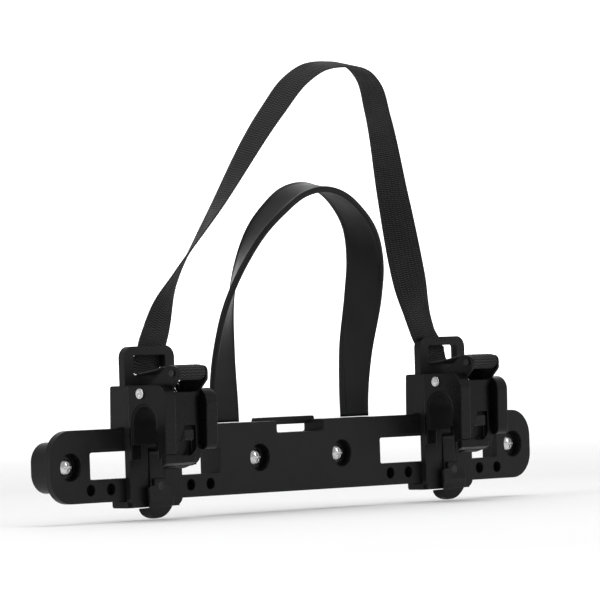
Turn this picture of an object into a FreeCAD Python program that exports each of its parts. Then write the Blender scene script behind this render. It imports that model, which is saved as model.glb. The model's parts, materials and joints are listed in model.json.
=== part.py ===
import FreeCAD, Part
import math
import os

from FreeCAD import Vector

# Quick-release hook rail for a bag: a moulded rail with two sliding self-locking
# hooks, a webbing pull strap that opens both hooks, and a rubber carrying handle.
# Millimetres. The shapes are drawn from the rail's lower front edge: X along the rail,
# Y from front to back, Z up. write() moves them to the part's own origin, which is the
# centre of the rail's back face.

# Rail
RAIL_LENGTH = 387.0
RAIL_HEIGHT = 40.0
RAIL_DEPTH = 15.7
PLATE_THICK = 4.5
END_RADIUS = 15.0
BOX_HALF = 64.8
BOSS_START = 169.0
BOSS_LOW = 6.0
WINDOW_END = 164.2
WINDOW_LOW = 12.6
WINDOW_HIGH = 27.4
LIP_CHAMFER = 1.7
INDEX_PITCH = 15.2
INDEX_FIRST = 72.8
INDEX_COUNT = 7
INDEX_RADIUS = 3.25
INDEX_DEPTH = 5.2
INDEX_Z = 6.9
STRIP_DEPTH = 7.0
NOTCH_HALF = 19.0
NOTCH_LOW = 33.3
BRIDGE_HALF = 23.5
BRIDGE_LOW = 37.7
BRIDGE_HIGH = 42.0
BRIDGE_FRONT = 12.0
CELL_X = (9.5, 21.5)
CELL_WIDTH = 10.0
CELL_LOW = 4.0
CELL_HIGH = 29.0
CELL_FRONT = 9.0

# Rail screws
SCREW_X = (33.1, 178.5)
SCREW_Z = RAIL_HEIGHT / 2
SCREW_RADIUS = 2.1
SCREW_HOLE_RADIUS = 2.6
THREAD_RADIUS = 2.5
THREAD_LENGTH = 8.0
HEAD_RADIUS = 4.75
HEAD_TOP = 2.2
HEAD_HEIGHT = 2.6
HEAD_SHOULDER = 1.7
HEAD_RECESS = 2.8
HEAD_RECESS_SLOT = 0.6
HEAD_RECESS_DEPTH = 1.5
WASHER_RADIUS = 6.2
WASHER_THICK = 1.0
BORE_RADIUS = 7.75

# Handle
HANDLE_X = 52.6
HANDLE_Y = 8.0
HANDLE_WIDTH = 22.0
HANDLE_THICK = 3.6
HANDLE_BEVEL = 1.0
HANDLE_LEAN = 10.0
TANG_WIDTH = 18.0
TANG_THICK = 3.2
TANG_LOW = 21.0
TANG_PIN_Z = 29.0
TANG_PIN_RADIUS = 1.5
TANG_PIN_FRONT = 3.5
HANDLE_STATIONS = 24
# Half of the handle's centreline, from the rail's top to the crest: half spread, depth, height.
HANDLE_LINE = (
    (52.6, 8.0, 40.4),
    (52.6, 8.0, 48.0),
    (53.4, 6.0, 78.0),
    (53.8, -1.0, 110.0),
    (50.5, -6.5, 128.0),
    (41.0, -12.0, 148.0),
    (29.5, -14.4, 159.5),
    (15.5, -15.5, 168.5),
    (0.0, -16.0, 171.5),
)

# Webbing
WEB_WIDTH = 19.8
WEB_THICK = 1.5
STRAP_END_TOP = 81.5
STRAP_LEAN = 1.6
STRAP_LYING_FRONT = -8.0
STRAP_TILT = 12.0
STRAP_STATIONS = 36
# Half of the strap's centreline, from above the guide to the crest.
STRAP_LINE = (
    (108.8, 5.2, 86.5),
    (106.0, 4.6, 94.0),
    (102.3, 4.0, 104.0),
    (69.8, -12.3, 165.0),
    (42.8, -27.6, 213.0),
    (29.5, -34.0, 230.5),
    (18.0, -36.6, 237.4),
    (0.0, -37.8, 239.6),
)

# Carrier, which slides on the rail
UNIT_X = INDEX_FIRST + 3 * INDEX_PITCH
UNIT_HALF = 19.75
UNIT_TOP = 63.2
GAP = 0.3
FLANGE_FRONT = -4.2
FLANGE_LOW = -3.6
CARRIER_BACK = 10.9
BACK_LIP_FRONT = 4.9
LOWER_LIP_FRONT = 7.4
UPPER_LIP_LOW = 28.5
LOWER_LIP_HIGH = 9.5
LOWER_LIP_LOW = -4.0
GUIDE_FRONT = -1.5
GUIDE_BACK = 3.0
GUIDE_HALF = 19.15
GUIDE_TOP = 84.7
GUIDE_RADIUS = 6.5
SLOT_HALF = 12.25
SLOT_LOW = 69.0
SLOT_HIGH = 79.7
CHANNEL_HALF = 6.0
CHANNEL_TOP = 29.0

# Hook and lever
CHEEK_FRONT = -34.0
CHEEK_LEFT = -12.15
CHEEK_RIGHT = 11.75
CHEEK_LOW = 22.0
CHEEK_RIGHT_TOP = 60.8
CHEEK_ROUND = 8.0
SEAT_Y = -16.4
SEAT_Z = 42.7
SEAT_RADIUS = 10.2
LINER_THICK = 1.5
LINER_HALF = 19.5
PIVOT_Y = -14.5
PIVOT_Z = 58.7
PIN_RADIUS = 1.5
PIN_HEAD_RADIUS = 2.9
PIN_HEAD_THICK = 1.3
PIN_SLOT_DEPTH = 0.6
PIN_RIVET_RADIUS = 2.3
PIN_RIVET_THICK = 0.9
RUN_CLEAR = 0.06
HUB_RADIUS = 5.0
KNUCKLE_START = 6.1
FOOT_RADIUS = 38.2
FOOT_THICK = 4.0
WEB_FRONT = -28.9
WEB_BACK = -26.9
LEVER_LEFT = -11.85
LEVER_RIGHT = 11.45
ARM_THICK = 1.6
ARM_LOW = 52.4
WEB_LOW = 18.4
WEB_HIGH = 59.0
WEB_CORNER = 9.0
STEP_WIDTH = 2.6
STEP_DEPTH = 1.1
STEP_SPAN = (30.0, 56.0)
NOSE_RIGHT = 7.5
FOOT_RIGHT = 3.0
# Corners of the lever's window and of the smaller hole through its nose: across, height, rounding.
LEVER_WINDOW = ((7.4, 40.5, 0.8), (-1.0, 40.5, 0.8), (-9.0, 24.2, 1.0), (7.4, 24.2, 6.0))
NOSE_WINDOW = ((5.6, 40.5, 0.0), (-1.0, 40.5, 0.0), (-6.0, 24.2, 0.0), (5.6, 24.2, 3.0))
# Corners of the nose's outline: depth, height, rounding.
NOSE_OUTLINE = (
    (-28.4, 32.5, 0.0),
    (-13.9, 32.5, 1.2),
    (-14.4, 28.5, 1.2),
    (-23.9, 18.9, 0.0),
    (-28.4, 18.9, 0.0),
)
ROLL_Y = -31.6
ROLL_Z = 69.2
ROLL_RADIUS = 4.75
ROLL_PIN_RADIUS = 1.3
ROLL_PIN_HEAD_RADIUS = 1.9
ROLL_PIN_HEAD_THICK = 0.9
TAIL_LENGTH = 9.0
SPRING_WIRE = 0.45
SPRING_RADIUS = 2.9
SPRING_SPAN = (-9.4, 5.0)
SPRING_TURNS = 9
SPRING_BACK_LEG = 5.6
SPRING_FRONT_LEG = 11.6
SPRING_FRONT_SLOPE = -0.08

# Screws that hold the hook to the carrier, driven from behind
HOOK_SCREW_X = (-13.5, 13.5)
HOOK_SCREW_Z = 50.0
HOOK_SCREW_RADIUS = 1.5
HOOK_HEAD_RADIUS = 3.0
HOOK_HEAD_FRONT = 7.0
HOOK_HEAD_HEIGHT = 1.6
HOOK_SCREW_TIP = -7.4
HOOK_RECESS = 2.2
HOOK_RECESS_SLOT = 0.45
HOOK_RECESS_DEPTH = 0.8

# Index latch, drawn locked and then turned out of the rail to where it rests
LATCH_Y = -2.4
LATCH_Z = 26.0
LATCH_REST = -4.2
LATCH_PIN_RADIUS = 1.1
LATCH_PIN_HALF = 9.0
BARREL_RADIUS = 1.85
STEM_HALF = 5.2
STEM_FRONT = -4.0
STEM_BACK = -1.1
STEM_LOW = 2.0
NECK_TOP = 8.0
PADDLE_HALF = 9.2
PADDLE_BACK = -4.6
PADDLE_FRONT = -6.8
PADDLE_REAR = 4.0
PADDLE_LOW = -10.3
PADDLE_TOP = 11.5
PADDLE_STEP = 3.9
PADDLE_CORNER = 8.6
TAB_HALF = 4.0
TAB_SLOPE = 0.4
PEG_Z = 7.2
PEG_TIP = 1.0
PEG_START = -0.8
PEG_ROOT_RADIUS = 2.6
PEG_TIP_RADIUS = 1.8

FAR = 400.0
ORIGIN = Vector(0, RAIL_DEPTH, RAIL_HEIGHT / 2)
SIDES = {"left": -UNIT_X, "right": UNIT_X}


def box(x0, x1, y0, y1, z0, z1):
    return Part.makeBox(x1 - x0, y1 - y0, z1 - z0, Vector(x0, y0, z0))


def rod_x(y, z, radius, x0, x1):
    return Part.makeCylinder(radius, x1 - x0, Vector(x0, y, z), Vector(1, 0, 0))


def rod_y(x, z, radius, y0, y1):
    return Part.makeCylinder(radius, y1 - y0, Vector(x, y0, z), Vector(0, 1, 0))


def rounded_wire(corners):
    """A closed wire through 3-D corners, each a point and the radius that rounds it."""
    count = len(corners)
    runs = []
    for i, (here, radius) in enumerate(corners):
        before = (corners[i - 1][0] - here).normalize()
        after = (corners[(i + 1) % count][0] - here).normalize()
        if radius == 0:
            runs.append((here, here, here))
            continue
        half = before.getAngle(after) / 2
        reach = radius / math.tan(half)
        middle = (before + after).normalize() * (radius / math.sin(half) - radius)
        runs.append((here + before * reach, here + middle, here + after * reach))
    edges = []
    for i, (start, middle, end) in enumerate(runs):
        if (end - start).Length > 0:
            edges.append(Part.Arc(start, middle, end).toShape())
        following = runs[(i + 1) % count][0]
        if (following - end).Length > 1e-6:
            edges.append(Part.makeLine(end, following))
    return Part.Wire(edges)


def slab_y(corners, y0, y1):
    """A plate across Y; its corners are (x, z, radius)."""
    wire = rounded_wire([(Vector(x, y0, z), r) for x, z, r in corners])
    return Part.Face(wire).extrude(Vector(0, y1 - y0, 0))


def slab_x(corners, x0, x1):
    """A plate across X; its corners are (y, z, radius)."""
    wire = rounded_wire([(Vector(x0, y, z), r) for y, z, r in corners])
    return Part.Face(wire).extrude(Vector(x1 - x0, 0, 0))


def rounded_plate(x, half, low, high, radius, y0, y1):
    """A plate across Y with four equal corners, centred on x."""
    across = ((x - half, low), (x + half, low), (x + half, high), (x - half, high))
    return slab_y([(u, v, radius) for u, v in across], y0, y1)


def fuse(shapes):
    joined = shapes[0].multiFuse(shapes[1:])
    return joined.removeSplitter()


def mirrored(shape):
    return shape.mirror(Vector(0, 0, 0), Vector(1, 0, 0))


def turned(shape, y, z, degrees):
    copy = shape.copy()
    copy.rotate(Vector(0, y, z), Vector(1, 0, 0), degrees)
    return copy


def write(name, shape):
    placed = shape.copy()
    placed.translate(ORIGIN * -1)
    placed.exportStep(f"parts/{name}.step")


# Rail and what is fixed to it


def counterbore(x):
    bore = rod_y(x, SCREW_Z, BORE_RADIUS, -1, HEAD_TOP + HEAD_HEIGHT + WASHER_THICK)
    return bore.fuse(rod_y(x, SCREW_Z, SCREW_HOLE_RADIUS, 0, RAIL_DEPTH + 1))


def window():
    """One window through the front plate, with a bevel under its upper edge."""
    middle, half = (BOX_HALF + WINDOW_END) / 2, (WINDOW_END - BOX_HALF) / 2
    corner = 1.2
    hole = rounded_plate(middle, half, WINDOW_LOW, WINDOW_HIGH, corner, -1, PLATE_THICK + 1)
    bevel = slab_x(
        [
            (-1, WINDOW_HIGH - 1, 0),
            (-1, WINDOW_HIGH + LIP_CHAMFER, 0),
            (0, WINDOW_HIGH + LIP_CHAMFER, 0),
            (LIP_CHAMFER + 1, WINDOW_HIGH - 1, 0),
        ],
        middle - half + corner,
        middle + half - corner,
    )
    return hole.fuse(bevel)


def tang_pocket():
    half = TANG_WIDTH / 2 + GAP
    deep = TANG_THICK / 2 + GAP
    slot = box(HANDLE_X - half, HANDLE_X + half, HANDLE_Y - deep, HANDLE_Y + deep, TANG_LOW - 1, FAR)
    return slot.fuse(rod_y(HANDLE_X, TANG_PIN_Z, TANG_PIN_RADIUS, TANG_PIN_FRONT, RAIL_DEPTH + 1))


def rail():
    half = RAIL_LENGTH / 2
    top = RAIL_HEIGHT
    plate = rounded_plate(0, half, 0, top, END_RADIUS, 0, PLATE_THICK)
    middle = box(-BOX_HALF, BOX_HALF, PLATE_THICK, RAIL_DEPTH, 0, top)
    boss = slab_y(
        [
            (BOSS_START, BOSS_LOW, 2),
            (half, BOSS_LOW, 11),
            (half, top - BOSS_LOW, 11),
            (BOSS_START, top - BOSS_LOW, 2),
        ],
        PLATE_THICK - 1,
        RAIL_DEPTH,
    )
    strip = box(BOX_HALF, BOSS_START, 0, STRIP_DEPTH, 0, WINDOW_LOW)
    body = fuse([plate, middle, boss, mirrored(boss), strip, mirrored(strip)])
    cuts = []
    for cut in [window(), tang_pocket()] + [counterbore(x) for x in SCREW_X]:
        cuts += [cut, mirrored(cut)]
    for i in range(INDEX_COUNT):
        hole = rod_y(INDEX_FIRST + i * INDEX_PITCH, INDEX_Z, INDEX_RADIUS, -1, INDEX_DEPTH)
        cuts += [hole, mirrored(hole)]
    cuts.append(
        slab_y(
            [
                (-NOTCH_HALF, NOTCH_LOW, 1.5),
                (NOTCH_HALF, NOTCH_LOW, 1.5),
                (NOTCH_HALF, top + 1, 0),
                (-NOTCH_HALF, top + 1, 0),
            ],
            -1,
            RAIL_DEPTH + 1,
        )
    )
    for x in CELL_X:
        cell = rounded_plate(x, CELL_WIDTH / 2, CELL_LOW, CELL_HIGH, 1.5, CELL_FRONT, RAIL_DEPTH + 1)
        cuts += [cell, mirrored(cell)]
    body = body.cut(cuts)
    bridge = slab_y(
        [
            (-BRIDGE_HALF, BRIDGE_LOW, 0.5),
            (BRIDGE_HALF, BRIDGE_LOW, 0.5),
            (BRIDGE_HALF, BRIDGE_HIGH, 1.5),
            (-BRIDGE_HALF, BRIDGE_HIGH, 1.5),
        ],
        BRIDGE_FRONT,
        RAIL_DEPTH,
    )
    return fuse([body, bridge])


def cross_recess(x, z, half, slot, y0, y1):
    upright = box(x - slot, x + slot, y0, y1, z - half, z + half)
    return upright.fuse(box(x - half, x + half, y0, y1, z - slot, z + slot))


def pan_screw(x):
    """A pan-head screw whose shank stands out of the rail's back."""
    top = HEAD_TOP
    base = HEAD_TOP + HEAD_HEIGHT
    dome = [
        Vector(0, top, 0),
        Vector(HEAD_RADIUS * 0.6, top + HEAD_SHOULDER * 0.3, 0),
        Vector(HEAD_RADIUS, top + HEAD_SHOULDER, 0),
    ]
    wire = Part.Wire(
        [
            Part.Arc(dome[0], dome[1], dome[2]).toShape(),
            Part.makeLine(dome[2], Vector(HEAD_RADIUS, base, 0)),
            Part.makeLine(Vector(HEAD_RADIUS, base, 0), Vector(0, base, 0)),
            Part.makeLine(Vector(0, base, 0), dome[0]),
        ]
    )
    head = Part.Face(wire).revolve(Vector(0, 0, 0), Vector(0, 1, 0), 360)
    shank = rod_y(0, 0, SCREW_RADIUS, base - 0.5, RAIL_DEPTH)
    thread = rod_y(0, 0, THREAD_RADIUS, RAIL_DEPTH, RAIL_DEPTH + THREAD_LENGTH)
    recess = cross_recess(0, 0, HEAD_RECESS, HEAD_RECESS_SLOT, 0, top + HEAD_RECESS_DEPTH)
    screw = fuse([head, shank, thread]).cut(recess)
    screw.translate(Vector(x, 0, SCREW_Z))
    return screw


def washer(x):
    front = HEAD_TOP + HEAD_HEIGHT
    disc = rod_y(x, SCREW_Z, WASHER_RADIUS, front, front + WASHER_THICK)
    return disc.cut(rod_y(x, SCREW_Z, SCREW_HOLE_RADIUS, 0, RAIL_DEPTH))


def both_ways(make):
    """One of each at every screw position on both halves of the rail."""
    return Part.makeCompound([make(side * x) for x in SCREW_X for side in (-1, 1)])


# Bands: the handle and the strap are lofted along a centreline and turn a quarter


def centreline(half_line):
    left = [Vector(-x, y, z) for x, y, z in half_line]
    right = [Vector(x, y, z) for x, y, z in reversed(half_line[:-1])]
    curve = Part.BSplineCurve()
    curve.interpolate(left + right)
    return curve


def band(half_line, outline, stations, turn, lean):
    """Lofts outline [(across, through)] along the line; turn(t) is 0 at the feet, 1 at the crest.

    At the crest the band's width lies front to back, with its front edge lower by lean degrees.
    """
    slope = math.radians(lean)
    curve = centreline(half_line)
    length = curve.length()
    wires = []
    for i in range(stations + 1):
        share = i / stations
        here = curve.parameterAtDistance(share * length, curve.FirstParameter)
        place = curve.value(here)
        tangent = Vector(*curve.tangent(here)[0])
        quarter = math.radians(90) * turn(1 - abs(2 * share - 1))
        angle = quarter if share <= 0.5 else math.pi - quarter
        sweep = math.sin(angle)
        across = Vector(math.cos(angle), sweep * math.cos(slope), sweep * math.sin(slope))
        across = (across - tangent * across.dot(tangent)).normalize()
        through = tangent.cross(across)
        points = [place + across * a + through * b for a, b in outline]
        wires.append(Part.makePolygon(points + points[:1]))
    return Part.makeLoft(wires, True, False)


def handle_turn(share):
    return (share * share * (3 - 2 * share)) ** 0.9


def strap_turn(share):
    return math.sin(math.pi / 2 * min(1, 1.12 * share))


def handle_loop():
    wide, thick, bevel = HANDLE_WIDTH / 2, HANDLE_THICK / 2, HANDLE_BEVEL
    outline = [
        (wide, thick - bevel),
        (wide - bevel, thick),
        (bevel - wide, thick),
        (-wide, thick - bevel),
        (-wide, bevel - thick),
        (bevel - wide, -thick),
        (wide - bevel, -thick),
        (wide, bevel - thick),
    ]
    loop = band(HANDLE_LINE, outline, HANDLE_STATIONS, handle_turn, HANDLE_LEAN)
    tang = box(
        HANDLE_X - TANG_WIDTH / 2,
        HANDLE_X + TANG_WIDTH / 2,
        HANDLE_Y - TANG_THICK / 2,
        HANDLE_Y + TANG_THICK / 2,
        TANG_LOW,
        RAIL_HEIGHT + 2,
    )
    tang = tang.cut(rod_y(HANDLE_X, TANG_PIN_Z, TANG_PIN_RADIUS, 0, RAIL_DEPTH))
    return fuse([loop, tang, mirrored(tang)])


def handle_pins():
    pin = rod_y(HANDLE_X, TANG_PIN_Z, TANG_PIN_RADIUS, TANG_PIN_FRONT, RAIL_DEPTH - GAP)
    return Part.makeCompound([pin, mirrored(pin)])


def strap_loop():
    wide, thick = WEB_WIDTH / 2, WEB_THICK / 2
    outline = [(wide, thick), (-wide, thick), (-wide, -thick), (wide, -thick)]
    return band(STRAP_LINE, outline, STRAP_STATIONS, strap_turn, STRAP_TILT)


# One hook unit, drawn about X = 0


def carrier():
    flange = slab_y(
        [
            (-UNIT_HALF, FLANGE_LOW, 5),
            (UNIT_HALF, FLANGE_LOW, 5),
            (UNIT_HALF, UNIT_TOP, 1),
            (-UNIT_HALF, UNIT_TOP, 1),
        ],
        FLANGE_FRONT,
        -GAP,
    )
    back = CARRIER_BACK
    above = slab_x(
        [
            (-GAP, RAIL_HEIGHT + GAP, 0),
            (BACK_LIP_FRONT, RAIL_HEIGHT + GAP, 0),
            (BACK_LIP_FRONT, UPPER_LIP_LOW, 0),
            (back, UPPER_LIP_LOW, 1.5),
            (back - 1, UNIT_TOP, 1.5),
            (-GAP - 1, UNIT_TOP, 0),
            (-GAP - 1, RAIL_HEIGHT + GAP, 0),
        ],
        -UNIT_HALF,
        UNIT_HALF,
    )
    below = slab_x(
        [
            (-GAP - 1, LOWER_LIP_LOW, 0),
            (back, LOWER_LIP_LOW, 1.5),
            (back, LOWER_LIP_HIGH, 1),
            (LOWER_LIP_FRONT, LOWER_LIP_HIGH, 0),
            (LOWER_LIP_FRONT, -GAP, 0),
            (-GAP - 1, -GAP, 0),
        ],
        -UNIT_HALF,
        UNIT_HALF,
    )
    guide = slab_y(
        [
            (-GUIDE_HALF, UNIT_TOP - 4, 0),
            (GUIDE_HALF, UNIT_TOP - 4, 0),
            (GUIDE_HALF, GUIDE_TOP, GUIDE_RADIUS),
            (-GUIDE_HALF, GUIDE_TOP, GUIDE_RADIUS),
        ],
        GUIDE_FRONT,
        GUIDE_BACK,
    )
    body = fuse([flange, above, below, guide])
    slot = rounded_plate(0, SLOT_HALF, SLOT_LOW, SLOT_HIGH, 1.5, -FAR, FAR)
    channel = box(-CHANNEL_HALF, CHANNEL_HALF, -FAR, -GAP, -FAR, CHANNEL_TOP)
    pin_hole = rod_x(LATCH_Y, LATCH_Z, LATCH_PIN_RADIUS, -LATCH_PIN_HALF, LATCH_PIN_HALF)
    screw_holes = [rod_y(x, HOOK_SCREW_Z, HOOK_SCREW_RADIUS, -FAR, FAR) for x in HOOK_SCREW_X]
    heads = [rod_y(x, HOOK_SCREW_Z, HOOK_HEAD_RADIUS, HOOK_HEAD_FRONT, FAR) for x in HOOK_SCREW_X]
    cutters = [slot, channel, pin_hole] + screw_holes + heads
    return body.cut(cutters)


def hook_screws():
    screws = []
    front = HOOK_HEAD_FRONT
    back = front + HOOK_HEAD_HEIGHT
    for x in HOOK_SCREW_X:
        head = rod_y(x, HOOK_SCREW_Z, HOOK_HEAD_RADIUS, front, back)
        shank = rod_y(x, HOOK_SCREW_Z, HOOK_SCREW_RADIUS, HOOK_SCREW_TIP, back - HOOK_RECESS_DEPTH)
        start = back - HOOK_RECESS_DEPTH
        recess = cross_recess(x, HOOK_SCREW_Z, HOOK_RECESS, HOOK_RECESS_SLOT, start, back + 1)
        screws.append(fuse([head, shank]).cut(recess))
    return Part.makeCompound(screws)


def cheek(x0, x1, top, low, corner):
    return slab_x(
        [
            (FLANGE_FRONT, CHEEK_LOW, 0),
            (FLANGE_FRONT, top, 0),
            (CHEEK_FRONT, top, CHEEK_ROUND),
            (CHEEK_FRONT + 1, low, corner),
            (SEAT_Y - SEAT_RADIUS, low, 0.5),
            (SEAT_Y - SEAT_RADIUS, CHEEK_LOW + 10, 0),
            (FLANGE_FRONT - 2, CHEEK_LOW + 10, 0),
            (FLANGE_FRONT - 2, CHEEK_LOW, 0),
        ],
        x0,
        x1,
    )


def hook():
    left = cheek(-UNIT_HALF, CHEEK_LEFT, UNIT_TOP, CHEEK_LOW - 2, 0.5)
    left = left.common(rod_x(PIVOT_Y, PIVOT_Z, FOOT_RADIUS, -FAR, FAR))
    right = cheek(CHEEK_RIGHT, UNIT_HALF, CHEEK_RIGHT_TOP, CHEEK_LOW + 5, 3.5)
    wall = box(-UNIT_HALF, UNIT_HALF, FLANGE_FRONT - 2, FLANGE_FRONT, CHANNEL_TOP + 1, UNIT_TOP)
    top = box(-UNIT_HALF, UNIT_HALF, FLANGE_FRONT - 4, FLANGE_FRONT, UNIT_TOP - 7, UNIT_TOP)
    body = fuse([left, right, wall, top])
    seat = rod_x(SEAT_Y, SEAT_Z, SEAT_RADIUS, -FAR, FAR)
    mouth = box(-FAR, FAR, SEAT_Y - SEAT_RADIUS, SEAT_Y + SEAT_RADIUS, 0, SEAT_Z)
    pin_hole = rod_x(PIVOT_Y, PIVOT_Z, PIN_RADIUS, -FAR, FAR)
    screw_holes = [rod_y(x, HOOK_SCREW_Z, HOOK_SCREW_RADIUS, HOOK_SCREW_TIP, FAR) for x in HOOK_SCREW_X]
    return body.cut([seat, mouth, pin_hole] + screw_holes)


def liner():
    inner = SEAT_RADIUS - LINER_THICK
    ring = rod_x(SEAT_Y, SEAT_Z, SEAT_RADIUS, -LINER_HALF, LINER_HALF)
    ring = ring.cut(rod_x(SEAT_Y, SEAT_Z, inner, -FAR, FAR))
    ring = ring.cut(box(-FAR, FAR, -FAR, FAR, 0, SEAT_Z))
    back_leg = box(-LINER_HALF, LINER_HALF, SEAT_Y + inner, SEAT_Y + SEAT_RADIUS, 30.5, SEAT_Z)
    front_leg = box(-LINER_HALF, LINER_HALF, SEAT_Y - SEAT_RADIUS, SEAT_Y - inner, 38, SEAT_Z)
    return fuse([ring, back_leg, front_leg])


def lever():
    arm_outline = [
        (PIVOT_Y + 3, PIVOT_Z - HUB_RADIUS, 3),
        (PIVOT_Y + 4.5, PIVOT_Z + 3, 3),
        (ROLL_Y + 4, ROLL_Z + 4.4, 3),
        (ROLL_Y - 4, ROLL_Z + 3.8, 3.5),
        (ROLL_Y - 4, ROLL_Z - 3.8, 3),
        (WEB_FRONT, 59, 1),
        (WEB_FRONT, ARM_LOW, 0),
        (WEB_BACK, ARM_LOW, 0),
    ]
    left_arm = slab_x(arm_outline, LEVER_LEFT, LEVER_LEFT + ARM_THICK)
    right_arm = slab_x(arm_outline, LEVER_RIGHT - ARM_THICK, LEVER_RIGHT)
    knuckle = rod_x(PIVOT_Y, PIVOT_Z, HUB_RADIUS, KNUCKLE_START, LEVER_RIGHT)
    web = slab_y(
        [
            (LEVER_LEFT, WEB_LOW, 0),
            (LEVER_RIGHT, WEB_LOW, WEB_CORNER),
            (LEVER_RIGHT, WEB_HIGH, 1),
            (LEVER_LEFT, WEB_HIGH, 1),
        ],
        WEB_FRONT,
        WEB_BACK,
    )
    foot_radius = FOOT_RADIUS + GAP
    foot = rod_x(PIVOT_Y, PIVOT_Z, foot_radius + FOOT_THICK, -UNIT_HALF, FOOT_RIGHT)
    foot = foot.cut(rod_x(PIVOT_Y, PIVOT_Z, foot_radius, -FAR, FAR))
    toe = box(-FAR, LEVER_LEFT, CHEEK_FRONT + 1, CHEEK_FRONT + 5, 0, CHEEK_LOW + 8)
    sole = box(LEVER_LEFT, FAR, CHEEK_FRONT + 1, WEB_BACK + 4, 0, CHEEK_LOW + 8)
    foot = foot.common(toe.fuse(sole))
    nose = slab_x(NOSE_OUTLINE, LEVER_LEFT + 3, NOSE_RIGHT)
    window_through_web = slab_y(LEVER_WINDOW, -FAR, WEB_BACK + 0.2)
    window_through_nose = slab_y(NOSE_WINDOW, -FAR, WEB_BACK + 2)
    step = box(LEVER_RIGHT - STEP_WIDTH, FAR, -FAR, WEB_FRONT + STEP_DEPTH, *STEP_SPAN)
    bore = rod_x(PIVOT_Y, PIVOT_Z, PIN_RADIUS + RUN_CLEAR, -FAR, FAR)
    roll_hole = rod_x(ROLL_Y, ROLL_Z, ROLL_PIN_RADIUS, -FAR, FAR)
    body = fuse([left_arm, right_arm, knuckle, web, foot, nose])
    return body.cut([window_through_web, window_through_nose, step, bore, roll_hole])


def pivot_pin():
    head_end = -UNIT_HALF - PIN_HEAD_THICK
    rivet_end = UNIT_HALF + PIN_RIVET_THICK
    shank = rod_x(PIVOT_Y, PIVOT_Z, PIN_RADIUS, -UNIT_HALF, UNIT_HALF)
    head = rod_x(PIVOT_Y, PIVOT_Z, PIN_HEAD_RADIUS, head_end, -UNIT_HALF)
    rivet = rod_x(PIVOT_Y, PIVOT_Z, PIN_RIVET_RADIUS, UNIT_HALF, rivet_end)
    half, wide = PIN_HEAD_RADIUS * 0.6, PIN_HEAD_RADIUS * 0.14
    low, high = PIVOT_Z - half, PIVOT_Z + half
    slot = box(-FAR, head_end + PIN_SLOT_DEPTH, PIVOT_Y - wide, PIVOT_Y + wide, low, high)
    return fuse([shank, head, rivet]).cut(slot)


def lever_spring():
    """A torsion spring around the pivot, with one leg on the hook and one on the lever's web."""
    start, end = SPRING_SPAN
    helix = Part.makeHelix((end - start) / SPRING_TURNS, end - start, SPRING_RADIUS)
    wire_section = Part.makeCircle(SPRING_WIRE, Vector(SPRING_RADIUS, 0, 0), Vector(0, 1, 0))
    coil = Part.Wire(helix.Edges).makePipeShell([Part.Wire([wire_section])], True, True)
    coil.rotate(Vector(0, 0, 0), Vector(0, 1, 0), 90)
    coil.translate(Vector(start, PIVOT_Y, PIVOT_Z))
    first = Vector(start, PIVOT_Y, PIVOT_Z - SPRING_RADIUS)
    last = Vector(end, PIVOT_Y, PIVOT_Z - SPRING_RADIUS)
    back_leg = Part.makeCylinder(SPRING_WIRE, SPRING_BACK_LEG, first, Vector(0, 1, 0))
    forward = Vector(0, -1, SPRING_FRONT_SLOPE)
    front_leg = Part.makeCylinder(SPRING_WIRE, SPRING_FRONT_LEG, last, forward)
    return Part.makeCompound([coil, back_leg, front_leg])


def webbing_pin():
    left_end = LEVER_LEFT - ROLL_PIN_HEAD_THICK
    right_end = LEVER_RIGHT + ROLL_PIN_HEAD_THICK
    shank = rod_x(ROLL_Y, ROLL_Z, ROLL_PIN_RADIUS, LEVER_LEFT, LEVER_RIGHT)
    left = rod_x(ROLL_Y, ROLL_Z, ROLL_PIN_HEAD_RADIUS, left_end, LEVER_LEFT)
    right = rod_x(ROLL_Y, ROLL_Z, ROLL_PIN_HEAD_RADIUS, LEVER_RIGHT, right_end)
    return fuse([shank, left, right])


def strap_roll():
    middle = (LEVER_LEFT + LEVER_RIGHT) / 2
    x0, x1 = middle - WEB_WIDTH / 2, middle + WEB_WIDTH / 2
    roll = rod_x(ROLL_Y, ROLL_Z, ROLL_RADIUS, x0, x1)
    top = ROLL_Z + ROLL_RADIUS
    tail = box(x0, x1, ROLL_Y, ROLL_Y + TAIL_LENGTH, top - WEB_THICK, top)
    return fuse([roll, tail]).cut(rod_x(ROLL_Y, ROLL_Z, ROLL_PIN_RADIUS, -FAR, FAR))


def strap_end(middle):
    """The strap's end where it comes down behind the guide bar and forward through the slot."""
    centre = middle - math.copysign(STRAP_LEAN, middle)
    x0, x1 = centre - WEB_WIDTH / 2, centre + WEB_WIDTH / 2
    behind = GUIDE_BACK + 0.2
    low = SLOT_LOW + GAP
    standing = box(x0, x1, behind, behind + WEB_THICK, low, STRAP_END_TOP)
    lying = box(x0, x1, STRAP_LYING_FRONT, behind + WEB_THICK, low, low + WEB_THICK)
    return fuse([standing, lying])


def paddle():
    shoulder = PADDLE_TOP - PADDLE_STEP
    corners = [
        (PADDLE_HALF, PADDLE_LOW, PADDLE_CORNER),
        (PADDLE_HALF, shoulder, 2),
        (TAB_HALF + TAB_SLOPE, shoulder, 0.5),
        (TAB_HALF, PADDLE_TOP, 0.5),
    ]
    outline = [(-x, z, r) for x, z, r in corners] + corners[::-1]
    under = LOWER_LIP_LOW - 0.3
    profile = [
        (PADDLE_FRONT + 0.5, PADDLE_TOP, 1),
        (PADDLE_BACK, PADDLE_TOP, 0),
        (PADDLE_BACK, under, 0),
        (PADDLE_REAR, under, 1),
        (PADDLE_REAR, PADDLE_LOW, 3.5),
        (PADDLE_FRONT + 5.0, PADDLE_LOW, 3),
        (PADDLE_FRONT, 0, 8),
    ]
    return slab_x(profile, -PADDLE_HALF, PADDLE_HALF).common(slab_y(outline, -FAR, FAR))


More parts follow.
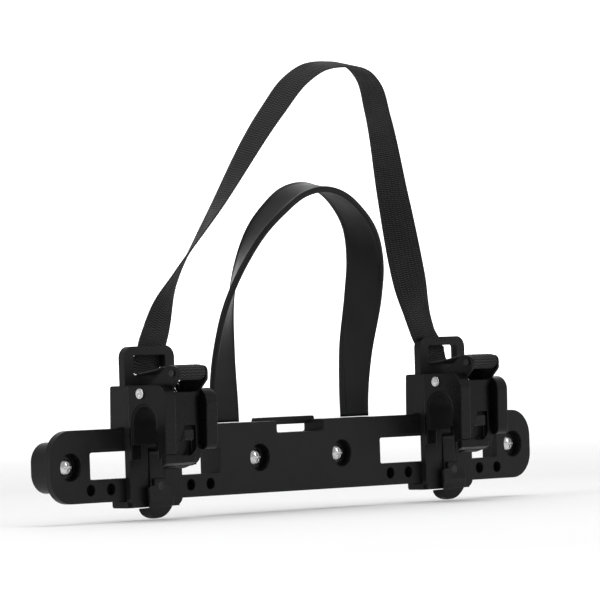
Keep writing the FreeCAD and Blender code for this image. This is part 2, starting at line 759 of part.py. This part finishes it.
def latch():
    stem = box(-STEM_HALF, STEM_HALF, STEM_FRONT, STEM_BACK, STEM_LOW, LATCH_Z)
    barrel = rod_x(LATCH_Y, LATCH_Z, BARREL_RADIUS, -STEM_HALF, STEM_HALF)
    neck = box(-STEM_HALF, STEM_HALF, PADDLE_BACK - 1, STEM_BACK, STEM_LOW, NECK_TOP)
    bore = rod_x(LATCH_Y, LATCH_Z, LATCH_PIN_RADIUS + RUN_CLEAR, -FAR, FAR)
    body = fuse([stem, barrel, neck, paddle()]).cut([bore, peg(0)])
    return turned(body, LATCH_Y, LATCH_Z, LATCH_REST)


def peg(turn):
    straight = rod_y(0, PEG_Z, PEG_ROOT_RADIUS, PADDLE_BACK - 2, PEG_START)
    length = PEG_TIP - PEG_START
    base = Vector(0, PEG_START, PEG_Z)
    taper = Part.makeCone(PEG_ROOT_RADIUS, PEG_TIP_RADIUS, length, base, Vector(0, 1, 0))
    return turned(fuse([straight, taper]), LATCH_Y, LATCH_Z, turn)


def latch_peg():
    return peg(LATCH_REST)


def latch_pin():
    return rod_x(LATCH_Y, LATCH_Z, LATCH_PIN_RADIUS, -LATCH_PIN_HALF, LATCH_PIN_HALF)


UNIT_PIECES = {
    "carrier": carrier,
    "hook": hook,
    "hook_screws": hook_screws,
    "liner": liner,
    "lever": lever,
    "pivot_pin": pivot_pin,
    "lever_spring": lever_spring,
    "webbing_pin": webbing_pin,
    "strap_roll": strap_roll,
    "latch": latch,
    "latch_pin": latch_pin,
    "latch_peg": latch_peg,
}

os.makedirs("parts", exist_ok=True)
write("rail", rail())
write("rail_screws", both_ways(pan_screw))
write("rail_washers", both_ways(washer))
write("handle_loop", handle_loop())
write("handle_pins", handle_pins())
write("strap_loop", strap_loop())
for piece, make in UNIT_PIECES.items():
    shape = make()
    for side, middle in SIDES.items():
        placed = shape.copy()
        placed.translate(Vector(middle, 0, 0))
        write(f"{side}_{piece}", placed)
for side, middle in SIDES.items():
    write(f"{side}_strap_end", strap_end(middle))
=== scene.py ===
import json
import math

import bmesh
import bpy
import numpy as np
from mathutils import Matrix, Vector
from mathutils.bvhtree import BVHTree


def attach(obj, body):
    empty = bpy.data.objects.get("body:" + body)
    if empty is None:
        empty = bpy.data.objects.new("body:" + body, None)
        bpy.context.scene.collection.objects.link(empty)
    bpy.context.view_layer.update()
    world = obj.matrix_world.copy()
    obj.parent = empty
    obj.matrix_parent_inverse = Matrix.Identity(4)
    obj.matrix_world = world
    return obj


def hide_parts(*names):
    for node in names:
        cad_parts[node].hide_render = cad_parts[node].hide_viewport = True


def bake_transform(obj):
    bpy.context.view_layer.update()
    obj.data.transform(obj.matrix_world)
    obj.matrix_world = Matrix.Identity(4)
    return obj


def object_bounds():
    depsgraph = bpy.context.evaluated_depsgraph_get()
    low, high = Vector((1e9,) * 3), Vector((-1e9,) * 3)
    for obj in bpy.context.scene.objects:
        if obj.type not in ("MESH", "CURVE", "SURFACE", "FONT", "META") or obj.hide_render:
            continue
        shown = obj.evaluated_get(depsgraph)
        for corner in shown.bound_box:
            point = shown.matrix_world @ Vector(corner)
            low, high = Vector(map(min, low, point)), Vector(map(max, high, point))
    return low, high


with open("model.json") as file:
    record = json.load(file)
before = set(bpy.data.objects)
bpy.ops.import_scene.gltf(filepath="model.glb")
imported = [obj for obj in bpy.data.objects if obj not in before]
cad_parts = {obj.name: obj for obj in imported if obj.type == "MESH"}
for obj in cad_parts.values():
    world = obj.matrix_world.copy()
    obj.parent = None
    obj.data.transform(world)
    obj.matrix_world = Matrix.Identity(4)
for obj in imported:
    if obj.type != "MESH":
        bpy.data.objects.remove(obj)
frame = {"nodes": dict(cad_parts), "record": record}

cad_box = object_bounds()
MM = 0.001
SIDES = ("left", "right")


# Camera: the direction it looks from, and a roll about its own axis.

CAMERA_TURN = math.radians(45.462)
CAMERA_RISE = math.radians(-0.5)
CAMERA_ROLL = math.radians(1.882)
CAMERA_AWAY = 2.917
CAMERA_AIM = Vector((0.003, -0.0157, 0.088))
CAMERA_LENS = 308.1


def add_camera():
    back = Vector(
        (
            -math.sin(CAMERA_TURN) * math.cos(CAMERA_RISE),
            -math.cos(CAMERA_TURN) * math.cos(CAMERA_RISE),
            math.sin(CAMERA_RISE),
        )
    )
    level = Vector((math.cos(CAMERA_TURN), -math.sin(CAMERA_TURN), 0))
    rise = back.cross(level)
    right = level * math.cos(CAMERA_ROLL) - rise * math.sin(CAMERA_ROLL)
    up = level * math.sin(CAMERA_ROLL) + rise * math.cos(CAMERA_ROLL)
    data = bpy.data.cameras.new("camera")
    data.sensor_width = 36
    data.lens = CAMERA_LENS
    data.clip_end = 100
    camera = bpy.data.objects.new("camera", data)
    axes = Matrix((right, up, back)).transposed().to_4x4()
    camera.matrix_world = Matrix.Translation(CAMERA_AIM + back * CAMERA_AWAY) @ axes
    bpy.context.scene.collection.objects.link(camera)
    bpy.context.scene.camera = camera


add_camera()


# Materials

PLASTIC_SLOW = 45
PLASTIC_FINE = 1900
PLASTIC_LIGHTER = 1.35
PLASTIC_DARKER = 0.8
PLASTIC_GRAIN = 0.00006
PLASTIC_EDGE = 0.7
EDGE_SAMPLES = 6
METAL_SLOW = 220
METAL_FINE = 2600
METAL_DARKER = 0.75
CLOTH_GREY = 0.01
# Webbing colours: painted shade for the gaps between ribs, painted highlight for the rib tops, plain
# grey for the cloth itself.
CLOTH_SHADED_GAP = 0.0005
CLOTH_LIT_RIB = 0.055
CLOTH_SLOW = 60
CLOTH_FINE = 4200
CLOTH_GRAIN = 0.00012


def new_material(name, colour, roughness, metallic=0.0, specular=0.5):
    """A material with its shader's own numbers set; returns it, its nodes and its shader."""
    material = bpy.data.materials.new(name)
    material.use_nodes = True
    shader = material.node_tree.nodes["Principled BSDF"]
    shader.inputs["Base Color"].default_value = (*colour, 1)
    shader.inputs["Roughness"].default_value = roughness
    shader.inputs["Metallic"].default_value = metallic
    shader.inputs["Specular IOR Level"].default_value = specular
    return material, material.node_tree, shader


def noise_of(tree, scale, detail, rough=0.55):
    """A noise texture in object space, in the row's own metres."""
    where = tree.nodes.new("ShaderNodeTexCoord")
    noise = tree.nodes.new("ShaderNodeTexNoise")
    noise.inputs["Scale"].default_value = scale
    noise.inputs["Detail"].default_value = detail
    noise.inputs["Roughness"].default_value = rough
    tree.links.new(where.outputs["Object"], noise.inputs["Vector"])
    return noise


def ramp(tree, source, low, high, start=0.35, end=0.65):
    """Maps a noise to a range of numbers."""
    node = tree.nodes.new("ShaderNodeMapRange")
    node.inputs["From Min"].default_value = start
    node.inputs["From Max"].default_value = end
    node.inputs["To Min"].default_value = low
    node.inputs["To Max"].default_value = high
    tree.links.new(source, node.inputs["Value"])
    return node.outputs["Result"]


def tint(tree, source, dark, light, shader):
    """Colours the shader from dark to light as the source goes from 0 to 1."""
    mix = tree.nodes.new("ShaderNodeMix")
    mix.data_type = "RGBA"
    mix.inputs["A"].default_value = (*dark, 1)
    mix.inputs["B"].default_value = (*light, 1)
    tree.links.new(source, mix.inputs["Factor"])
    tree.links.new(mix.outputs["Result"], shader.inputs["Base Color"])


def bump(tree, source, distance, strength, shader, edge=0.0):
    """Fine relief; edge is the radius in millimetres over which light turns round a corner."""
    node = tree.nodes.new("ShaderNodeBump")
    if edge:
        soft = tree.nodes.new("ShaderNodeBevel")
        soft.samples = EDGE_SAMPLES
        soft.inputs["Radius"].default_value = edge * MM
        tree.links.new(soft.outputs["Normal"], node.inputs["Normal"])
    node.inputs["Distance"].default_value = distance
    node.inputs["Strength"].default_value = strength
    tree.links.new(source, node.inputs["Height"])
    tree.links.new(node.outputs["Normal"], shader.inputs["Normal"])


def plastic(name, grey, rough_low, rough_high, grain=PLASTIC_GRAIN, specular=0.5, edge=PLASTIC_EDGE):
    """Moulded black plastic: fine spark-eroded grain, slow changes of gloss, slight handling marks."""
    colour = (grey, grey, grey * 1.04)
    material, tree, shader = new_material(name, colour, rough_low, specular=specular)
    slow = noise_of(tree, PLASTIC_SLOW, 4)
    fine = noise_of(tree, PLASTIC_FINE, 3, 0.7)
    lighter = tuple(c * PLASTIC_LIGHTER for c in colour)
    darker = tuple(c * PLASTIC_DARKER for c in colour)
    tint(tree, ramp(tree, slow.outputs["Fac"], 0, 1), darker, lighter, shader)
    tree.links.new(ramp(tree, slow.outputs["Fac"], rough_low, rough_high), shader.inputs["Roughness"])
    bump(tree, fine.outputs["Fac"], grain, 0.5, shader, edge)
    return material


def metal(name, grey, roughness, grain):
    """Plated steel with fine turning marks."""
    material, tree, shader = new_material(name, (grey, grey, grey * 1.01), roughness, metallic=1.0)
    slow = noise_of(tree, METAL_SLOW, 3)
    fine = noise_of(tree, METAL_FINE, 2)
    gloss = ramp(tree, slow.outputs["Fac"], roughness * 0.7, roughness * 1.5)
    tree.links.new(gloss, shader.inputs["Roughness"])
    tint(tree, ramp(tree, slow.outputs["Fac"], 0, 1), (grey * METAL_DARKER,) * 3, (grey,) * 3, shader)
    bump(tree, fine.outputs["Fac"], grain, 0.4, shader)
    return material


def webbing_cloth():
    """Polyester webbing: painted highlight on the tops of its ribs and painted shade in the gaps between
    them, taken from the rib heights.
    """
    material, tree, shader = new_material("webbing", (CLOTH_GREY,) * 3, 0.6, specular=0.16)
    shader.inputs["Sheen Weight"].default_value = 0.02
    shader.inputs["Sheen Roughness"].default_value = 0.4
    weave = tree.nodes.new("ShaderNodeAttribute")
    weave.attribute_name = "weave"
    slow = noise_of(tree, CLOTH_SLOW, 3)
    fine = noise_of(tree, CLOTH_FINE, 4, 0.8)
    # Painted shade and highlight: the rib heights darken the gaps and lighten the rib tops, broken up by
    # fine random grain.
    mixed = tree.nodes.new("ShaderNodeMath")
    mixed.operation = "MULTIPLY"
    tree.links.new(ramp(tree, weave.outputs["Fac"], 0.12, 1, 0.25, 0.8), mixed.inputs[0])
    tree.links.new(ramp(tree, fine.outputs["Fac"], 0.55, 1), mixed.inputs[1])
    tint(tree, mixed.outputs["Value"], (CLOTH_SHADED_GAP,) * 3, (CLOTH_LIT_RIB,) * 3, shader)
    tree.links.new(ramp(tree, slow.outputs["Fac"], 0.5, 0.72), shader.inputs["Roughness"])
    bump(tree, fine.outputs["Fac"], CLOTH_GRAIN, 0.7, shader)
    return material


SLOT_MATERIALS = {
    "rail_plastic": plastic("rail_plastic", 0.007, 0.34, 0.5, specular=0.18),
    "hook_plastic": plastic("hook_plastic", 0.003, 0.22, 0.36, grain=0.00003, specular=0.17, edge=1.0),
    "lever_plastic": plastic("lever_plastic", 0.003, 0.22, 0.38, grain=0.00003, specular=0.17, edge=0.9),
    "latch_plastic": plastic("latch_plastic", 0.006, 0.26, 0.42, specular=0.2, edge=1.0),
    "liner_rubber": plastic("liner_rubber", 0.004, 0.5, 0.7, specular=0.15),
    "handle_rubber": plastic("handle_rubber", 0.0065, 0.34, 0.5, grain=0.00005, specular=0.16),
    "webbing": webbing_cloth(),
    "bright_steel": metal("bright_steel", 0.72, 0.2, 0.00002),
    "dark_steel": metal("dark_steel", 0.05, 0.34, 0.00003),
}
NODE_SLOTS = {part["node"]: part["material_slot"] for part in frame["record"]["subparts"]}
NODE_BODY = {
    node: body
    for body, nodes in frame["record"]["behaviour"]["bodies"].items()
    for node in nodes
}


def finish_piece(piece, node_slot, body):
    """Material, slot and body of a new piece."""
    piece.data.materials.clear()
    piece.data.materials.append(SLOT_MATERIALS[node_slot])
    if body:
        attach(piece, body)
    return piece


def new_mesh(name, points, faces, smooth=True):
    data = bpy.data.meshes.new(name)
    data.from_pydata([tuple(p) for p in points], [], faces)
    data.update()
    if smooth:
        data.polygons.foreach_set("use_smooth", [True] * len(data.polygons))
    piece = bpy.data.objects.new(name, data)
    bpy.context.scene.collection.objects.link(piece)
    return piece


# Moulded pieces: each CAD shape with the small rounds that a mould leaves on its edges

EDGE_ROUND = {
    "rail": 0.55,
    "carrier": 0.7,
    "hook": 0.9,
    "lever": 0.5,
    "liner": 0.25,
    "latch": 0.7,
    "pivot_pin": 0.3,
    "webbing_pin": 0.3,
    "latch_peg": 0.2,
    "hook_screws": 0.15,
    "rail_screws": 0.2,
    "rail_washers": 0.15,
}
SHARP_ANGLE = math.radians(38)
FLAT_ANGLE = math.radians(0.3)
WIDTH_TRIES = 7
NARROWING = 0.72
MERGE_DISTANCE = 2e-6
ROUND_SEGMENTS = 3
LEAST_VOLUME = 0.94
MOST_VOLUME = 1.002
CLOSE_SHARE = 0.6
CLOSE_SLACK = 1e-5


def bevelled(source, width):
    """The CAD mesh with its sharp edges rounded by width, in metres."""
    mesh = bmesh.new()
    mesh.from_mesh(source)
    bmesh.ops.remove_doubles(mesh, verts=mesh.verts, dist=MERGE_DISTANCE)
    bmesh.ops.dissolve_limit(
        mesh,
        angle_limit=FLAT_ANGLE,
        use_dissolve_boundaries=False,
        verts=mesh.verts,
        edges=mesh.edges,
    )
    sharp = [
        edge
        for edge in mesh.edges
        if len(edge.link_faces) == 2 and edge.calc_face_angle(0) > SHARP_ANGLE
    ]
    bmesh.ops.bevel(
        mesh,
        geom=sharp,
        offset=width,
        offset_type="OFFSET",
        segments=ROUND_SEGMENTS,
        profile=0.5,
        affect="EDGES",
        clamp_overlap=False,
        loop_slide=True,
    )
    bmesh.ops.triangulate(mesh, faces=[f for f in mesh.faces if len(f.verts) > 4])
    return mesh


def stays_close(mesh, surface, width):
    """True when every corner and face centre of the mesh is near the CAD surface."""
    places = [v.co for v in mesh.verts]
    places += [f.calc_center_median() for f in mesh.faces]
    return all(surface.find_nearest(p)[3] < CLOSE_SHARE * width + CLOSE_SLACK for p in places)


def rounded_copy(node, width):
    """A copy of a CAD node with rounded edges, narrower or left sharp where the width doesn't fit."""
    source = frame["nodes"][node]
    data = source.data.copy()
    plain = bmesh.new()
    plain.from_mesh(data)
    surface = BVHTree.FromBMesh(plain)
    volume = abs(plain.calc_volume())
    metres = width * MM
    for _ in range(WIDTH_TRIES):
        mesh = bevelled(data, metres)
        share = abs(mesh.calc_volume()) / volume
        if LEAST_VOLUME < share < MOST_VOLUME and stays_close(mesh, surface, metres):
            break
        mesh.free()
        metres *= NARROWING
    else:
        mesh = plain.copy()
        metres = 0
    print(f"rounded {node} by {metres / MM:.2f} mm")
    plain.free()
    mesh.to_mesh(data)
    mesh.free()
    piece = bpy.data.objects.new(f"{node}_moulded", data)
    bpy.context.scene.collection.objects.link(piece)
    data.polygons.foreach_set("use_smooth", [True] * len(data.polygons))
    data.set_sharp_from_angle(angle=SHARP_ANGLE)
    weighted = piece.modifiers.new("weighted", "WEIGHTED_NORMAL")
    weighted.keep_sharp = True
    return piece


def piece_kind(node):
    """A node's name without the side it is on."""
    return node.split("_", 1)[1] if node.split("_")[0] in SIDES else node


for node_name in sorted(frame["nodes"]):
    if piece_kind(node_name) in EDGE_ROUND:
        moulded = rounded_copy(node_name, EDGE_ROUND[piece_kind(node_name)])
        finish_piece(moulded, NODE_SLOTS[node_name], NODE_BODY[node_name])
        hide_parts(node_name)
    else:
        kept = frame["nodes"][node_name]
        kept.data.materials.clear()
        kept.data.materials.append(SLOT_MATERIALS[NODE_SLOTS[node_name]])


# Bands: a section swept along a line, with its width turning a quarter towards the crest

CURVE_STEPS = 60


def smooth_line(points, count):
    """Evenly spaced points on a smooth curve through the given ones, and the curve's length."""
    pts = np.array(points, float)
    gaps = np.linalg.norm(np.diff(pts, axis=0), axis=1)[:, None]
    chords = np.diff(pts, axis=0) / gaps
    inner = (chords[:-1] * gaps[1:] + chords[1:] * gaps[:-1]) / (gaps[:-1] + gaps[1:])
    slopes = np.vstack([chords[:1], inner, chords[-1:]])
    t = np.linspace(0, 1, CURVE_STEPS, endpoint=False)[:, None]
    dense = []
    for i, gap in enumerate(gaps):
        leave = gap * slopes[i] * (t - 2 * t**2 + t**3)
        arrive = gap * slopes[i + 1] * (t**3 - t**2)
        rise = 3 * t**2 - 2 * t**3
        dense.append(pts[i] + (pts[i + 1] - pts[i]) * rise + leave + arrive)
    dense = np.vstack(dense + [pts[-1:]])
    along = np.concatenate([[0], np.cumsum(np.linalg.norm(np.diff(dense, axis=0), axis=1))])
    at = np.linspace(0, along[-1], count)
    return np.stack([np.interp(at, along, dense[:, k]) for k in range(3)], axis=1), along[-1]


def unit(vectors):
    return vectors / np.linalg.norm(vectors, axis=-1, keepdims=True)


def frames(line, angles, lean):
    """Width and thickness directions along a line; angles turn the width from X towards Y.

    lean is how far the width's front end lies below its back end where it points along Y.
    """
    tangent = unit(np.gradient(line, axis=0))
    sweep_y = np.sin(angles)
    across = np.stack([np.cos(angles), sweep_y * math.cos(lean), sweep_y * math.sin(lean)], axis=1)
    across = unit(across - tangent * (across * tangent).sum(1, keepdims=True))
    return across, np.cross(tangent, across)


def sweep(name, line, across, through, sections):
    """A closed tube: sections[i] is the outline (width, thickness) at line[i]."""
    rows, ring = sections.shape[:2]
    points = (
        line[:, None, :]
        + across[:, None, :] * sections[:, :, :1]
        + through[:, None, :] * sections[:, :, 1:]
    ).reshape(-1, 3)
    faces = []
    for i in range(rows - 1):
        a, b = i * ring, (i + 1) * ring
        faces += [(a + k, a + (k + 1) % ring, b + (k + 1) % ring, b + k) for k in range(ring)]
    faces.append(tuple(reversed(range(ring))))
    faces.append(tuple(range((rows - 1) * ring, rows * ring)))
    return new_mesh(name, points, faces)


def mirrored_line(half_line):
    """The whole line in metres in the row frame, from its left half in the rail's own millimetres."""
    left = [(-x, y, z) for x, y, z in half_line]
    right = [(x, y, z) for x, y, z in reversed(half_line[:-1])]
    return [(x * MM, (y - RAIL_DEPTH) * MM, (z - RAIL_MIDDLE) * MM) for x, y, z in left + right]


RAIL_DEPTH = 15.7
RAIL_MIDDLE = 20.0


# Handle: a rubber band with a raised bead along both edges

HANDLE_LINE = (
    (52.6, 8.0, 40.4),
    (52.6, 8.0, 48.0),
    (53.4, 6.0, 78.0),
    (53.8, -1.0, 110.0),
    (50.5, -6.5, 128.0),
    (41.0, -12.0, 148.0),
    (29.5, -14.4, 159.5),
    (15.5, -15.5, 168.5),
    (0.0, -16.0, 171.5),
)
HANDLE_WIDTH = 22.0
HANDLE_THICK = 3.6
HANDLE_HOLLOW = 0.5
HANDLE_LEAN = math.radians(10)
HANDLE_ROWS = 200
HANDLE_TURN_POWER = 0.9
BEAD_STEPS = 14
WEB_STEPS = 20
BEAD_SHARE = 0.12


def handle_section():
    """Outline of the handle: two beads joined by a slightly hollow web."""
    thick = HANDLE_THICK / 2
    reach = HANDLE_WIDTH / 2 - thick
    outline = []
    for side in (1, -1):
        for k in range(BEAD_STEPS + 1):
            angle = -math.pi / 2 + math.pi * k / BEAD_STEPS
            outline.append((side * (reach + thick * math.cos(angle)), side * thick * math.sin(angle)))
        for k in range(1, WEB_STEPS):
            u = 1 - 2 * k / WEB_STEPS
            hollow = HANDLE_HOLLOW * min(1, (1 - abs(u)) / BEAD_SHARE)
            outline.append((side * reach * u, side * (thick - hollow)))
    return np.array(outline) * MM


def add_handle():
    line, _ = smooth_line(mirrored_line(HANDLE_LINE), HANDLE_ROWS)
    share = np.linspace(0, 1, len(line))
    turn = 1 - np.abs(2 * share - 1)
    quarter = math.pi / 2 * (turn * turn * (3 - 2 * turn)) ** HANDLE_TURN_POWER
    angles = np.where(share <= 0.5, quarter, math.pi - quarter)
    across, through = frames(line, angles, HANDLE_LEAN)
    section = handle_section()
    piece = sweep("handle_band", line, across, through, np.repeat(section[None], len(line), axis=0))
    finish_piece(piece, "handle_rubber", "rail_body")
    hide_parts("handle_loop")


add_handle()


# Webbing: ribs run across it, pressed into its surface by the weave

STRAP_LEAN = math.radians(12)
STRAP_LINE = (
    (115.8, 3.95, 74.5),
    (112.6, 3.95, 80.5),
    (109.5, 4.6, 86.5),
    (106.2, 4.6, 94.0),
    (102.3, 4.0, 104.0),
    (69.8, -12.3, 165.0),
    (42.8, -27.6, 213.0),
    (29.5, -34.0, 230.5),
    (18.0, -36.6, 237.4),
    (4.0, -37.8, 239.6),
    (0.0, -37.8, 239.6),
)
WEB_HALF = 9.9 * MM
WEB_THICK = 1.4 * MM
RIB_PITCH = 1.4 * MM
RIB_DEPTH = 0.36 * MM
ACROSS_STEPS = 30
ROWS_PER_RIB = 6
RIB_LEAN = 0.35
RIB_FOLDS = 5
THREADS = 10
THREAD_DIP = 0.25
EDGE_SHARE = 0.07
EDGE_HEIGHT = 0.45
FOOT_SHARE = 0.05
TURN_START = 0.2
TURN_RATE = 1.12


def woven_sections(length, rows):
    """Outlines of a strap along its length: cross ribs that step sideways at each warp thread."""
    u = np.linspace(-1, 1, ACROSS_STEPS + 1)
    at = np.linspace(0, length, rows)[:, None]
    lean = RIB_LEAN * RIB_PITCH * np.abs(((u * RIB_FOLDS) % 2) - 1)[None]
    rib = 0.5 + 0.5 * np.cos(2 * math.pi * (at + lean) / RIB_PITCH)
    thread = 1 - THREAD_DIP + THREAD_DIP * np.cos(2 * math.pi * u * THREADS)[None]
    edge = np.clip((1 - np.abs(u)) / EDGE_SHARE, 0, 1)[None] ** 0.5
    weave = rib * thread
    top = (WEB_THICK / 2 - RIB_DEPTH + RIB_DEPTH * weave) * (EDGE_HEIGHT + (1 - EDGE_HEIGHT) * edge)
    wide = np.broadcast_to(u * WEB_HALF, (rows, len(u)))
    upper = np.stack([wide, top], axis=2)
    lower = np.stack([wide[:, ::-1], -top[:, ::-1]], axis=2)
    heights = np.concatenate([weave, weave[:, ::-1]], axis=1)
    return np.concatenate([upper, lower], axis=1), heights


def strap_piece(name, points, turn, lean=0.0):
    """A woven strap along points; turn(share) gives the angle of its width."""
    _, length = smooth_line(points, 10)
    rows = int(length / RIB_PITCH * ROWS_PER_RIB)
    line, length = smooth_line(points, rows)
    share = np.linspace(0, 1, rows)
    across, through = frames(line, turn(share), lean)
    sections, heights = woven_sections(length, rows)
    piece = sweep(name, line, across, through, sections)
    # The rib heights, which the webbing colour uses for painted shade in the gaps and painted highlight
    # on the rib tops.
    weave = piece.data.attributes.new("weave", "FLOAT", "POINT")
    weave.data.foreach_set("value", heights.astype(np.float32).ravel())
    return piece


def add_strap_loop():
    """The strap from guide to guide in two halves that meet at the crest."""
    for side in SIDES:
        sign = 1 if side == "left" else -1
        half = [(-sign * x, y, z) for x, y, z in STRAP_LINE]
        points = [(x * MM, (y - RAIL_DEPTH) * MM, (z - RAIL_MIDDLE) * MM) for x, y, z in half]

        def turn(share, sign=sign):
            above_guide = np.clip((share - FOOT_SHARE) / (1 - FOOT_SHARE), 0, 1)
            start = np.clip(above_guide / TURN_START, 0, 1)
            ease = start * start * (3 - 2 * start)
            full = np.sin(math.pi / 2 * np.minimum(1, TURN_RATE * above_guide))
            return sign * math.pi / 2 * full * ease

        piece = strap_piece(f"{side}_strap", points, turn, STRAP_LEAN)
        finish_piece(piece, "webbing", None)
        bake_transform(piece)
        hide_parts("strap_loop")


add_strap_loop()

# The strap's feed from behind the guide, through the slot and onto the roll

ROLL_Y = -31.6
ROLL_Z = 69.2
ROLL_OUTER = 4.0
ROLL_INNER = 2.1
ROLL_POINTS = 60
ROLL_GAP = 0.1
UNIT_X = 118.4
LEVER_SHIFT = -0.2
FEED_LINE = (
    (2.6, 3.95, 76.4),
    (1.9, 3.95, 74.0),
    (1.5, 3.2, 71.4),
    (1.3, 1.4, 69.8),
    (1.1, -1.5, 69.5),
    (0.6, -7.0, 70.0),
    (0.2, -15.0, 71.2),
    (-0.1, -24.0, 72.8),
    (-0.2, -29.5, 73.2),
    (-0.2, -31.6, 73.2),
)


def placed(side, x, y, z):
    """A point of one hook unit in the row frame.

    A positive x points at the rail's middle, and a negative one to the left on both sides.
    """
    sign = -1 if side == "left" else 1
    shift = x if x < 0 else -sign * x
    return ((sign * UNIT_X + shift) * MM, (y - RAIL_DEPTH) * MM, (z - RAIL_MIDDLE) * MM)


def flat_turn(share):
    """No turn: the width stays along X."""
    return np.zeros(len(share))


def roll_line(side):
    """The spiral of the strap wound on its pin, from the outside in."""
    turns = (ROLL_OUTER - ROLL_INNER) / (WEB_THICK / MM + ROLL_GAP)
    whole = 2 * math.pi * turns
    points = []
    for angle in np.linspace(0, whole, ROLL_POINTS):
        radius = ROLL_OUTER - (ROLL_OUTER - ROLL_INNER) * angle / whole
        y = ROLL_Y - radius * math.sin(angle)
        z = ROLL_Z + radius * math.cos(angle)
        points.append(placed(side, LEVER_SHIFT, y, z))
    return points


def add_feed(side):
    """The strap from the guide to the lever, and the turns of it on the lever's pin."""
    points = [placed(side, *p) for p in FEED_LINE]
    feed = strap_piece(f"{side}_strap_feed", points, flat_turn)
    finish_piece(feed, "webbing", None)
    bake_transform(feed)
    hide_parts(f"{side}_strap_end")
    roll = strap_piece(f"{side}_wound_strap", roll_line(side), flat_turn)
    finish_piece(roll, "webbing", f"{side}_lever_body")
    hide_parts(f"{side}_strap_roll")


for side_name in SIDES:
    add_feed(side_name)


# Floor and light

FLOOR_DROP = 0.001
FLOOR_HALF = 12.0
FLOOR_GREY = 0.76
GLOW_NEAR = 0.1
GLOW_FAR = 0.6
GLOW_START = 0.6
GLOW_END = 2.5
WORLD_STRENGTH = 0.5
BACKDROP_AWAY = 9.0
BACKDROP_HALF = 6.0
BACKDROP_HIGH = 7.5
BACKDROP_GREY = 0.93
BACKDROP_GLOW = 0.9
LIGHT_AIM = (0, 0, 0.06)
# Each light's name, place, size and power.
LIGHTS = (
    ("top_box", (0.1, -0.2, 1.6), (1.6, 1.2), 12),
    ("left_box", (-1.7, -0.1, 0.7), (0.5, 1.4), 14),
    ("front_box", (1.0, -2.0, 1.0), (0.5, 1.0), 8),
)


def glowing(name, colour, glow):
    """A pale matt surface that also gives a little light of its own, as lit studio paper does."""
    material, tree, shader = new_material(name, colour, 0.9, specular=0.1)
    shader.inputs["Emission Color"].default_value = (1, 1, 1, 1)
    shader.inputs["Emission Strength"].default_value = glow
    return material


def add_sheet(name, corners, material):
    sheet = new_mesh(name, corners, [(0, 1, 2, 3)], smooth=False)
    sheet.data.materials.append(material)


def add_floor():
    """The floor, which glows more the further it is from the object: painted light standing in for lamp
    light, weaker near the object so that its shadow shows.
    """
    low = cad_box[0][2] - FLOOR_DROP
    half = FLOOR_HALF
    corners = [(-half, -half, low), (half, -half, low), (half, half, low), (-half, half, low)]
    material = glowing("floor", (FLOOR_GREY,) * 3, GLOW_NEAR)
    tree = material.node_tree
    where = tree.nodes.new("ShaderNodeTexCoord")
    away = tree.nodes.new("ShaderNodeVectorMath")
    away.operation = "LENGTH"
    tree.links.new(where.outputs["Object"], away.inputs[0])
    # Painted light: the floor's own glow rises from GLOW_NEAR close to the object to GLOW_FAR far away.
    glow = ramp(tree, away.outputs["Value"], GLOW_NEAR, GLOW_FAR, GLOW_START, GLOW_END)
    tree.links.new(glow, tree.nodes["Principled BSDF"].inputs["Emission Strength"])
    add_sheet("floor", corners, material)


def add_backdrop():
    low = cad_box[0][2] - FLOOR_DROP
    away = Vector((math.sin(CAMERA_TURN), math.cos(CAMERA_TURN), 0)) * BACKDROP_AWAY
    side = Vector((math.cos(CAMERA_TURN), -math.sin(CAMERA_TURN), 0)) * BACKDROP_HALF
    foot = Vector((0, 0, low))
    head = Vector((0, 0, BACKDROP_HIGH))
    corners = [away - side + foot, away + side + foot, away + side + head, away - side + head]
    add_sheet("backdrop", corners, glowing("backdrop", (BACKDROP_GREY,) * 3, BACKDROP_GLOW))


def add_area(name, place, size, power):
    data = bpy.data.lights.new(name, "AREA")
    data.shape = "RECTANGLE"
    data.size, data.size_y = size
    data.energy = power
    lamp = bpy.data.objects.new(name, data)
    turn = (Vector(place) - Vector(LIGHT_AIM)).to_track_quat("Z", "Y")
    lamp.matrix_world = Matrix.Translation(place) @ turn.to_matrix().to_4x4()
    bpy.context.scene.collection.objects.link(lamp)


def add_world():
    world = bpy.data.worlds.new("world")
    bpy.context.scene.world = world
    world.use_nodes = True
    world.node_tree.nodes["Background"].inputs["Color"].default_value = (1, 1, 1, 1)
    world.node_tree.nodes["Background"].inputs["Strength"].default_value = WORLD_STRENGTH
    bpy.context.scene.view_settings.view_transform = "Standard"


add_floor()
add_backdrop()
add_world()
for light in LIGHTS:
    add_area(*light)
